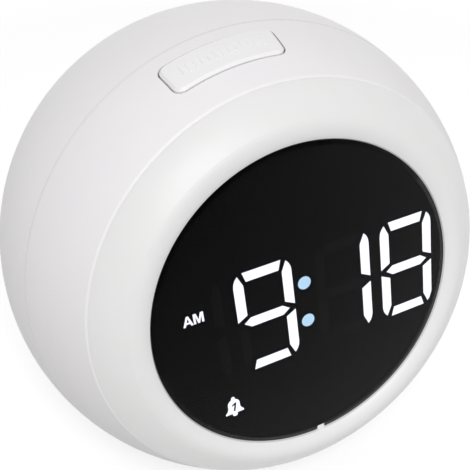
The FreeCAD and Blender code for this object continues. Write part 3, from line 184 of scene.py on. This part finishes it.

# A light polish leaves it smoother than the ball, with faint waves, and some light goes into it. Its
# own light, the night light at its lowest step, gives an even glow. On the slope next to the lens its
# colour is darker and its glow stronger: painted light that evens out the shade on that slope.
milky = finish_of(
    "milky_polycarbonate", "#DCDCDC", "#D9D9D8", grain=0.8, bump=0.003,
    shine={
        "Roughness": 0.42, "IOR": 1.58, "Specular IOR Level": 0.4, "Subsurface Weight": 0.3,
        "Subsurface Radius": (1.0, 1.0, 1.0), "Subsurface Scale": 1.5 * MM,
        "Emission Color": linear("#FFFFFF"),
    },
)
tree = milky.node_tree
shader = tree.nodes["Principled BSDF"]
place = add(tree, "ShaderNodeTexCoord").outputs["Object"]
arm = add(
    tree, "ShaderNodeVectorMath",
    {"operation": "SUBTRACT", 1: BALL_CENTRE}, {0: place},
)
across = add(
    tree, "ShaderNodeVectorMath",
    {"operation": "CROSS_PRODUCT", 1: FACE_AXIS}, {0: arm.outputs[0]},
)
reach = add(tree, "ShaderNodeVectorMath", {"operation": "LENGTH"}, {0: across.outputs[0]})
# Painted light: towards the lens the slope's colour darkens and its glow grows, evening out its shade.
painted_slope_share = add(
    tree, "ShaderNodeMapRange",
    {"interpolation_type": "SMOOTHSTEP", "From Min": SLOPE_TOP, "From Max": SLOPE_FOOT},
    {"Value": reach.outputs["Value"]},
)
body = add(
    tree, "ShaderNodeMix", {"data_type": "RGBA", 7: linear("#BCBCBC")},
    {0: painted_slope_share.outputs[0], 6: shader.inputs["Base Color"].links[0].from_socket},
)
glow = add(
    tree, "ShaderNodeMapRange",
    {"To Min": RING_GLOW, "To Max": SLOPE_PAINTED_GLOW}, {"Value": painted_slope_share.outputs[0]},
)
tree.links.new(body.outputs[2], shader.inputs["Base Color"])
tree.links.new(glow.outputs[0], shader.inputs["Emission Strength"])
coat(milky, "front_ring")

# Lens: a 2 mm disc cut from smoked acrylic, with a polished bevel and a hard anti-glare coat, held
# on the display block by a ring of clear tape. Faces that lean further than LENS_FLAT are its bevel
# and rim.
LENS_FLAT = 0.95

# Smoked through, it lets only the lit segments show, and the rest of it reads as black. The coat
# keeps its reflections faint.
smoked = blank("smoked_acrylic")
tree = smoked.node_tree
place = add(tree, "ShaderNodeTexCoord").outputs["Object"]
haze = add(
    tree, "ShaderNodeTexNoise",
    {"Scale": 1 / (9 * MM), "Detail": 1.0}, {"Vector": place},
)
tint = add(
    tree, "ShaderNodeMix",
    {"data_type": "RGBA", 6: linear("#55555A"), 7: linear("#57575B")}, {0: haze.outputs["Fac"]},
)
shader = add(
    tree, "ShaderNodeBsdfPrincipled",
    {
        "Roughness": 0.04, "IOR": 1.49, "Transmission Weight": 1.0,
        "Specular Tint": linear("#3A3A3A"),
    },
    {"Base Color": tint.outputs[2]},
)
add(tree, "ShaderNodeOutputMaterial", {}, {"Surface": shader.outputs[0]})
coat(smoked, "display_lens")

# The bevel and the rim show the full depth of the smoke: a glossy black line round the lens.
lens_edge = finish_of(
    "black_lens_edge", "#0C0C0D", "#101011", grain=0.8, bump=0.001,
    shine={"Roughness": 0.15, "IOR": 1.49},
)
coat_some(lens_edge, "display_lens", lambda face: abs(face.normal.dot(FACE_AXIS)) < LENS_FLAT)

# Clear tape on black plastic looks black too, with a soft, slightly wavy shine.
clear_tape = finish_of(
    "clear_acrylic_tape", "#1A1A1B", "#161617", grain=1.5, bump=0.002,
    shine={"Roughness": 0.3, "IOR": 1.47},
)
coat(clear_tape, "lens_tape")

# Display block: a black PBT moulding with one cell for each segment, which keeps each one's light
# to itself. Screws from behind hold it and the display board to the chassis.
# The tool was blasted, so its cells and front are dull black and give no highlight.
black_pbt = finish_of(
    "matt_black_pbt", "#0B0B0C", "#0E0E0F", grain=1.2, bump=0.004,
    shine={"Roughness": 0.8, "IOR": 1.55, "Specular IOR Level": 0.2},
)
coat(black_pbt, "display_block")

# Light guides: clear epoxy poured into the block's cells, one fill in each, over the light chips. The
# two dots, the small letters and the bell are fills too. GUIDE_FRONT tells their fronts from sides.
GUIDE_FRONT = 0.9


def guide_of(name, colour, light, strength):
    """A frosted epoxy light guide, its glow a touch dimmer towards its uneven spots."""
    made = blank(name)
    tree = made.node_tree
    place = add(tree, "ShaderNodeTexCoord").outputs["Object"]
    spots = add(
        tree, "ShaderNodeTexNoise",
        {"Scale": 1 / (2.5 * MM), "Detail": 1.0}, {"Vector": place},
    )
    glow = add(
        tree, "ShaderNodeMix",
        {"data_type": "RGBA", 6: linear(light[0]), 7: linear(light[1])}, {0: spots.outputs["Fac"]},
    )
    shader = add(
        tree, "ShaderNodeBsdfPrincipled",
        {"Base Color": linear(colour), "Roughness": 0.35, "IOR": 1.5, "Emission Strength": strength},
        {"Emission Color": glow.outputs[2]},
    )
    add(tree, "ShaderNodeOutputMaterial", {}, {"Surface": shader.outputs[0]})
    return made


# Lit fills glow evenly, strong enough to come white, or pale blue, through the smoked lens. Dark ones,
# and the sides of the lit ones, glow faintly: painted light for what leaks from their neighbours.
lit_white = guide_of("lit_epoxy_white", "#C8C8C8", ("#FFFFFF", "#F8FBFF"), strength=12.0)
lit_blue = guide_of("lit_epoxy_blue", "#9FB4C4", ("#C7ECFB", "#C2E8F9"), strength=9.4)
dark_epoxy = guide_of("dark_epoxy", "#141416", ("#B4B8BC", "#A6AAAE"), strength=0.045)
coat(lit_white, "lit_segments", "morning_mark", "alarm_mark")
coat(lit_blue, "colon_dots")
coat(dark_epoxy, "unlit_segments")
for name in ("lit_segments", "morning_mark", "alarm_mark", "colon_dots"):
    coat_some(dark_epoxy, name, lambda face: face.normal.dot(FACE_AXIS) < GUIDE_FRONT)

# Circuit boards: glass-epoxy laminate, routed to shape and coated with green solder mask. Each one
# is screwed to the piece that carries it.
# The mask is glossy, and the glass cloth shows through it at its own thread spacing of 0.5 mm.
solder_mask = finish_of(
    "green_solder_mask", "#1C5A37", "#184F30", grain=0.5, bump=0.004, blotch=2.0,
    shine={"Roughness": 0.35, "IOR": 1.55},
)
coat(solder_mask, "display_board", "light_board", "main_board", "snooze_board", "rear_board")

# Light chips: tiny white ceramic cases with a fill of yellow phosphor, soldered to the display board
# and to the ring light's board.
# The fill hides most of the case, so a chip reads as pale yellow.
phosphor = finish_of(
    "phosphor_chip", "#E9DC8C", "#F0E9C4", grain=0.3, bump=0.004, blotch=0.8,
    shine={"Roughness": 0.4, "IOR": 1.5},
)
coat(phosphor, "display_leds", "light_leds")

# Screws: small pan heads, cold headed in steel and zinc plated, driven into the moulded sleeves of
# the shells and the chassis.
# The plating has a soft blue-grey sheen. Its fine grain is made coarser here, 0.4 mm, to show.
zinc = finish_of(
    "zinc_plated_steel", "#B9BCC1", "#A7ABB1", grain=0.4, bump=0.004, blotch=1.5,
    shine={"Metallic": 1.0, "Roughness": 0.34},
)
coat(
    zinc,
    "chassis_screws", "ring_screws", "display_screws", "main_board_screws", "snooze_board_screws",
    "rear_board_screws", "speaker_screws", "base_screws",
)

# Chassis: the inner plate that carries the display, the front ring with its board and the main
# board, moulded in natural white ABS and screwed to the middle shell's shelf.
# Nobody sees it, so its tool was left plain: a warmer white than the ball, and a little shinier.
plain_white = finish_of(
    "plain_abs_white", "#E6E5E2", "#DFDEDB", grain=0.6, bump=0.005,
    shine={"Roughness": 0.45, "IOR": 1.53},
)
coat(plain_white, "chassis")

# Parts on the boards: a controller chip and a board link moulded in black epoxy, and a crystal and
# capacitors in aluminium cans, all soldered in place.
# Moulded epoxy is a dull black with fine specks.
black_epoxy = finish_of(
    "black_moulded_epoxy", "#17171A", "#1D1D20", grain=0.3, bump=0.006, blotch=2.0,
    shine={"Roughness": 0.6, "IOR": 1.55},
)
coat(black_epoxy, "controller_chip", "board_link")

# Drawn aluminium is pale and bright. The fine marks of the die are made coarser here, to show.
aluminium = finish_of(
    "drawn_aluminium", "#D4D5D8", "#C6C8CB", grain=0.5, bump=0.003, blotch=2.0,
    shine={"Metallic": 1.0, "Roughness": 0.28},
)
coat(aluminium, "clock_crystal", "capacitors")

# Snooze key: a curved cap in the ball's own ABS that stands a little proud of the ball and presses on
# a sprung switch. A row of fine raised bars is moulded along its middle for a finger to find.
scene = bpy.context.scene
BALL_RADIUS = 50 * MM
KEY_PROUD = 0.5 * MM
KEY_MIDDLE = FRONT_SEAM - 8.46 * MM
KEY_POLAR = math.acos(KEY_MIDDLE / BALL_RADIUS)
KEY_TURN = math.radians(6.85)
FACE_TURN = Matrix.Rotation(math.radians(90) - FACE_TILT, 3, "X")
SKIN = BALL_RADIUS + KEY_PROUD
BAR_COUNT = 13
BAR_PITCH = 1.3 * MM
BAR_LENGTH = 2.3 * MM
BAR_WIDTH = 0.42 * MM
BAR_RISE = 0.16 * MM
BAR_SHOULDER = BAR_RISE * 0.55
BAR_ROUNDING = 0.07 * MM
BAR_SINK = 0.25 * MM
BAR_STEPS = 24

# Fingers have polished the texture a little, so the key is a touch smoother than the ball.
key_finish = finish_of(
    "satin_abs_white", "#F0EFF0", "#EEEDEE", grain=0.35, bump=0.006,
    shine={"Roughness": 0.45, "IOR": 1.53},
)
coat(key_finish, "snooze_key")


def on_ball(polar, turn, radius):
    """A point of the ball by its angle from the face axis and its turn towards -X from straight up."""
    local = Vector((
        -math.sin(polar) * math.sin(turn),
        math.sin(polar) * math.cos(turn),
        math.cos(polar),
    ))
    return BALL_CENTRE + FACE_TURN @ (local * radius)


# Each bar is a long oval with half-round ends. It starts inside the key's skin, and its top edge is
# rounded off.
bars = bmesh.new()
bar_circle = SKIN * math.sin(KEY_POLAR)
for number in range(BAR_COUNT):
    turn = KEY_TURN + (number - (BAR_COUNT - 1) / 2) * BAR_PITCH / bar_circle
    loops = []
    for inset, rise in ((0, -BAR_SINK), (0, BAR_SHOULDER), (BAR_ROUNDING, BAR_RISE)):
        loop = []
        half_across = BAR_WIDTH / 2 - inset
        half_along = BAR_LENGTH / 2 - inset
        for step in range(BAR_STEPS):
            angle = 2 * math.pi * step / BAR_STEPS
            side = 1 if math.sin(angle) >= 0 else -1
            across = half_across * math.cos(angle)
            along = (half_along - half_across) * side + half_across * math.sin(angle)
            point = on_ball(KEY_POLAR + along / SKIN, turn + across / bar_circle, SKIN + rise)
            loop.append(bars.verts.new(point))
        loops.append(loop)
    for low, high in zip(loops, loops[1:]):
        for k in range(BAR_STEPS):
            bars.faces.new((low[k - 1], low[k], high[k], high[k - 1]))
    bars.faces.new(loops[-1])
    bars.faces.new(list(reversed(loops[0])))
bmesh.ops.recalc_face_normals(bars, faces=bars.faces)
bars_mesh = bpy.data.meshes.new("key_bars")
bars.to_mesh(bars_mesh)
bars.free()
bars_mesh.materials.append(key_finish)
key_bars = bpy.data.objects.new("key_bars", bars_mesh)
scene.collection.objects.link(key_bars)
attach(key_bars, "snooze_key")

# Switches: moulded black nylon bodies with acetal plungers, soldered to the key's board and to the
# rear board. The socket's tongue is of the same nylon, and the alarm slider is acetal.
# Nylon is a soft black with a fine grain.
nylon = finish_of(
    "black_nylon", "#1B1B1D", "#222224", grain=0.4, bump=0.006, blotch=2.0,
    shine={"Roughness": 0.5, "IOR": 1.53},
)
coat(nylon, "snooze_switch", "button_switches", "socket_tongue")

# Acetal comes from a smooth tool with a waxy shine.
acetal = finish_of(
    "dark_acetal", "#232326", "#2A2A2D", grain=0.5, bump=0.003, blotch=1.5,
    shine={"Roughness": 0.3, "IOR": 1.48},
)
coat(acetal, "snooze_stem", "mode_stem", "alarm_stem", "down_stem", "up_stem", "alarm_slider")

# Rear buttons: four round caps moulded in pale grey ABS, sprayed, and set in the rear panel, each in
# front of its own switch.
# The satin lacquer gives an even pale grey with a broad, soft highlight.
lacquer = finish_of(
    "satin_grey_lacquer", "#C9CACC", "#C3C4C7", grain=0.3, bump=0.004, blotch=3.0,
    shine={"Roughness": 0.4, "IOR": 1.5},
)
coat(lacquer, "mode_button", "alarm_button", "down_button", "up_button")

# Power socket and slide switch: shells folded from thin steel, tin plated and soldered to the rear
# board.
# Tin is a grey-white metal with a soft shine, slightly cloudy from the bath.
tin = finish_of(
    "tin_plated_steel", "#C9C9C6", "#B9B9B7", grain=0.4, bump=0.003, blotch=1.5,
    shine={"Metallic": 1.0, "Roughness": 0.3},
)
coat(tin, "power_socket", "slide_switch")

# Speaker: a pressed steel basket with its magnet behind and a cone of black paper pulp in front. A
# moulded clamp holds it to the rear shell with screws.
# Pressed steel is a mid grey with a dull shine.
steel = finish_of(
    "pressed_steel", "#8E9093", "#83858A", grain=0.5, bump=0.004, blotch=2.0,
    shine={"Metallic": 1.0, "Roughness": 0.4},
)
coat(steel, "speaker_frame", "speaker_magnet")

# Paper pulp is dead matt, with fibres 0.25 mm wide that stand up a little.
paper_pulp = finish_of(
    "black_paper_pulp", "#1A1A1A", "#242322", grain=0.25, bump=0.02, blotch=0.8,
    shine={"Roughness": 0.9, "IOR": 1.4},
)
coat(paper_pulp, "speaker_cone")

# Black ABS from a plain tool has a low, even shine.
black_abs = finish_of(
    "black_abs", "#161617", "#1C1C1D", grain=0.5, bump=0.005, blotch=3.0,
    shine={"Roughness": 0.5, "IOR": 1.53},
)
coat(black_abs, "speaker_clamp")

# Battery door: a bayonet disc moulded in the ball's ABS, with a slot for a coin. A turn of 45 degrees
# frees it from the base.
# It has the ball's texture, a shade darker than the ball.
door_white = finish_of(
    "textured_abs_door", "#ECEAEB", "#E8E6E8", grain=0.35, bump=0.010,
    shine={"Roughness": 0.55, "IOR": 1.53},
)
coat(door_white, "battery_door")

# Backup cell and its contacts: a coin cell in a nickel-plated can, held between two contacts that are
# cut and bent from spring strip.
# Nickel is bright and a little warm.
nickel = finish_of(
    "nickel_plated_steel", "#CBCAC6", "#BEBDBA", grain=0.4, bump=0.002, blotch=2.5,
    shine={"Metallic": 1.0, "Roughness": 0.22},
)
coat(nickel, "backup_cell")

# Rolled strip is yellower and less bright. Its fine rolling marks are made coarser here, to show.
spring_strip = finish_of(
    "spring_steel_strip", "#C4C2BB", "#B5B3AD", grain=0.3, bump=0.003, blotch=1.0,
    shine={"Metallic": 1.0, "Roughness": 0.3},
)
coat(spring_strip, "cell_top_contact", "cell_side_contact")

# Foot ring: a soft ring moulded in silicone and stuck under the base. Its edges are rounded, and
# three fine grooves run round its underside for grip. Its sizes are in millimetres.
PAD_INNER = 17.5
PAD_OUTER = 24.75
PAD_THICK = 2.0
PAD_ROUND = 0.35
ROUND_STEPS = 4
GROOVES = 3
GROOVE_DEPTH = 0.18
GROOVE_HALF = 0.3
PAD_STEPS = 128


def lathe(name, points, steps):
    """A closed ring or disc turned about the Z axis from its section, in millimetres."""
    turned = bmesh.new()
    rings = []
    for step in range(steps):
        angle = 2 * math.pi * step / steps
        rings.append([
            turned.verts.new((radius * MM * math.cos(angle), radius * MM * math.sin(angle), height * MM))
            for radius, height in points
        ])
    for k in range(steps):
        for n in range(len(points)):
            turned.faces.new((rings[k - 1][n - 1], rings[k][n - 1], rings[k][n], rings[k - 1][n]))
    bmesh.ops.remove_doubles(turned, verts=turned.verts, dist=1e-7)
    bmesh.ops.dissolve_degenerate(turned, edges=turned.edges, dist=1e-7)
    bmesh.ops.recalc_face_normals(turned, faces=turned.faces)
    mesh = bpy.data.meshes.new(name)
    turned.to_mesh(mesh)
    turned.free()
    for face in mesh.polygons:
        face.use_smooth = True
    made = bpy.data.objects.new(name, mesh)
    scene.collection.objects.link(made)
    return made


pad_section = []
for middle_radius, middle_height, start in (
    (PAD_OUTER - PAD_ROUND, PAD_ROUND, -90),
    (PAD_OUTER - PAD_ROUND, PAD_THICK - PAD_ROUND, 0),
    (PAD_INNER + PAD_ROUND, PAD_THICK - PAD_ROUND, 90),
    (PAD_INNER + PAD_ROUND, PAD_ROUND, 180),
):
    for step in range(ROUND_STEPS + 1):
        angle = math.radians(start + 90 * step / ROUND_STEPS)
        radius = middle_radius + PAD_ROUND * math.cos(angle)
        height = middle_height + PAD_ROUND * math.sin(angle)
        pad_section.append((radius, height))
for number in range(GROOVES):
    middle = PAD_INNER + (PAD_OUTER - PAD_INNER) * (number + 1) / (GROOVES + 1)
    for across, depth in ((-1, 0), (-0.5, 1), (0.5, 1), (1, 0)):
        pad_section.append((middle + across * GROOVE_HALF, depth * GROOVE_DEPTH))
foot_ring = lathe("foot_ring", pad_section, PAD_STEPS)

# Silicone is a dull, slightly dusty white with no highlight.
silicone = finish_of(
    "soft_silicone", "#CFCFCE", "#C8C8C7", grain=0.4, bump=0.006, blotch=4.0,
    shine={"Roughness": 0.75, "IOR": 1.41},
)
foot_ring.data.materials.append(silicone)
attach(foot_ring, "clock")
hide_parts("base_pad")

# Cell cushion: a disc cut from black closed-cell foam and stuck inside the battery door. Its cut edge
# is drawn in a little, and its top is crowned where it presses on the cell. Sizes in millimetres.
low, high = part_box("cell_cushion")
CUSHION_RADIUS = (high.x - low.x) / 2 / MM
CUSHION_LOW = low.z / MM
CUSHION_TALL = (high.z - low.z) / MM
BOTTOM_INSET = 0.15
SIDE_INSET = 0.05
SIDE_DRAWN = 0.12
SIDE_FOOT = 0.05
SIDE_HEAD = 0.8
SHOULDER_START = 0.7
SHOULDER_SLOPE = 0.3
CROWN_INSET = 0.2
CUSHION_ROWS = 6
CUSHION_STEPS = 64
cushion_section = [(0, CUSHION_LOW), (CUSHION_RADIUS - BOTTOM_INSET, CUSHION_LOW)]
for step in range(CUSHION_ROWS + 1):
    share = step / CUSHION_ROWS
    inset = SIDE_INSET + SIDE_DRAWN * math.sin(math.pi * share)
    inset += SHOULDER_SLOPE * max(0, share - SHOULDER_START)
    rise = SIDE_FOOT + (SIDE_HEAD - SIDE_FOOT) * share
    cushion_section.append((CUSHION_RADIUS - inset, CUSHION_LOW + CUSHION_TALL * rise))
for step in range(1, CUSHION_ROWS + 1):
    share = step / CUSHION_ROWS
    radius = (CUSHION_RADIUS - CROWN_INSET) * (1 - share)
    rise = SIDE_HEAD + (1 - SIDE_HEAD) * math.sin(math.pi / 2 * share)
    cushion_section.append((radius, CUSHION_LOW + CUSHION_TALL * rise))
foam = lathe("foam_cushion", cushion_section, CUSHION_STEPS)

# Foam is dead matt, pitted with cut cells 0.3 mm wide.
cell_foam = finish_of(
    "closed_cell_foam", "#1B1B1C", "#2A2A2B", grain=0.3, bump=0.05, blotch=0.6,
    shine={"Roughness": 0.95, "IOR": 1.3},
)
foam.data.materials.append(cell_foam)
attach(foam, "battery_door")
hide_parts("cell_cushion")

# Studio floor: a wide sweep of pale paper. It reads as white to the eye and keeps the clock's shadow.
# A hair's drop keeps it off the foot ring's underside.
FLOOR_SIZE = 3.0
FLOOR_DROP = 0.02 * MM
NEAR_CLOCK = 200 * MM
FAR_OFF = 900 * MM
NEAR_LIFT = 0.25
FAR_LIFT = 1.0
FLOOR_BOUNCE = 0.34
corner = FLOOR_SIZE / 2
floor_mesh = bpy.data.meshes.new("studio_floor")
floor_mesh.from_pydata(
    [(-corner, -corner, 0), (corner, -corner, 0), (corner, corner, 0), (-corner, corner, 0)],
    [],
    [(0, 1, 2, 3)],
)
floor = bpy.data.objects.new("studio_floor", floor_mesh)
scene.collection.objects.link(floor)
floor.location.z = -FLOOR_DROP


def seen_directly(tree):
    """1 for rays from the eye, a mirror or a lens, which see the plain backdrop, and 0 for others."""
    path = add(tree, "ShaderNodeLightPath").outputs
    eye = add(
        tree, "ShaderNodeMath", {"operation": "MAXIMUM"},
        {0: path["Is Camera Ray"], 1: path["Is Glossy Ray"]},
    )
    any_of = add(
        tree, "ShaderNodeMath", {"operation": "MAXIMUM"},
        {0: eye.outputs[0], 1: path["Is Transmission Ray"]},
    )
    return any_of.outputs[0]


# Lit paper alone would be grey, so it is lifted to white, more so far off, where its edge would
# show. What it throws back at the clock is even all over, and from below it is clear.
sweep = blank("pale_paper_sweep")
tree = sweep.node_tree
seen = seen_directly(tree)
paper = add(tree, "ShaderNodeBsdfDiffuse", {"Color": linear("#F2F2F2")})
spot = add(tree, "ShaderNodeTexCoord").outputs["Object"]
reach = add(tree, "ShaderNodeVectorMath", {"operation": "LENGTH"}, {0: spot})
fade = add(
    tree, "ShaderNodeMapRange",
    {"From Min": NEAR_CLOCK, "From Max": FAR_OFF, "To Min": NEAR_LIFT, "To Max": FAR_LIFT},
    {"Value": reach.outputs["Value"]},
)
lift = add(tree, "ShaderNodeEmission", {"Color": linear("#FFFFFF")}, {"Strength": fade.outputs[0]})
white = add(tree, "ShaderNodeAddShader", {}, {0: paper.outputs[0], 1: lift.outputs[0]})
bounce = add(
    tree, "ShaderNodeEmission",
    {"Color": linear("#FFFFFF"), "Strength": FLOOR_BOUNCE},
)
front = add(tree, "ShaderNodeMixShader", {}, {0: seen, 1: bounce.outputs[0], 2: white.outputs[0]})
under = add(tree, "ShaderNodeNewGeometry").outputs["Backfacing"]
clear = add(tree, "ShaderNodeBsdfTransparent")
both = add(tree, "ShaderNodeMixShader", {}, {0: under, 1: front.outputs[0], 2: clear.outputs[0]})
add(tree, "ShaderNodeOutputMaterial", {}, {"Surface": both.outputs[0]})
floor_mesh.materials.append(sweep)

# Studio light: even light from all round, one large soft lamp high in front, and a weak low one
# behind that leaves no highlight. The backdrop is white to the eye.
EVEN_LIGHT = 0.475
LAMP_DISTANCE = 1.5
world = bpy.data.worlds.new("studio_light")
scene.world = world
world.use_nodes = True
tree = world.node_tree
tree.nodes.clear()
seen = seen_directly(tree)
even = add(tree, "ShaderNodeBackground", {"Color": linear("#FFFFFF"), "Strength": EVEN_LIGHT})
backdrop = add(tree, "ShaderNodeBackground", {"Color": linear("#FFFFFF"), "Strength": 1.0})
sky = add(tree, "ShaderNodeMixShader", {}, {0: seen, 1: even.outputs[0], 2: backdrop.outputs[0]})
add(tree, "ShaderNodeOutputWorld", {}, {"Surface": sky.outputs[0]})


def towards(azimuth, elevation):
    """The direction of a place round the clock; azimuth 0 is in front and -90 at its left."""
    turn = math.radians(azimuth)
    rise = math.radians(elevation)
    return Vector((
        math.sin(turn) * math.cos(rise),
        -math.cos(turn) * math.cos(rise),
        math.sin(rise),
    ))


# For each lamp: its name, where it stands, its width and height in metres, its watts, and whether it
# makes highlights.
for name, way, size, watts, glossy in (
    ("soft_lamp", towards(-20, 50), (0.9, 0.9), 13.2, True),
    ("back_fill", towards(158, 5), (0.9, 0.25), 3.4, False),
):
    lamp = bpy.data.lights.new(name, "AREA")
    lamp.shape = "ELLIPSE"
    lamp.size = size[0]
    lamp.size_y = size[1]
    lamp.energy = watts
    stand = bpy.data.objects.new(name, lamp)
    scene.collection.objects.link(stand)
    stand.location = BALL_CENTRE + way * LAMP_DISTANCE
    stand.visible_glossy = glossy
    stand.rotation_mode = "QUATERNION"
    stand.rotation_quaternion = (-way).to_track_quat("-Z", "Y")

# Camera: close and high at the front left, so that the ball fills the frame. Colours come out as
# they are written.
CAMERA_BACK = Vector((-0.320, -0.661, 0.679)).normalized()
CAMERA_DISTANCE = 170.9 * MM
CAMERA_LENS = 58.96
camera_data = bpy.data.cameras.new("camera")
camera_data.sensor_width = 36.0
camera_data.lens = CAMERA_LENS
camera_data.clip_start = 10 * MM
camera = bpy.data.objects.new("camera", camera_data)
scene.collection.objects.link(camera)
camera.location = BALL_CENTRE + CAMERA_BACK * CAMERA_DISTANCE
camera.rotation_mode = "QUATERNION"
camera.rotation_quaternion = (-CAMERA_BACK).to_track_quat("-Z", "Y")
scene.camera = camera
scene.view_settings.view_transform = "Standard"
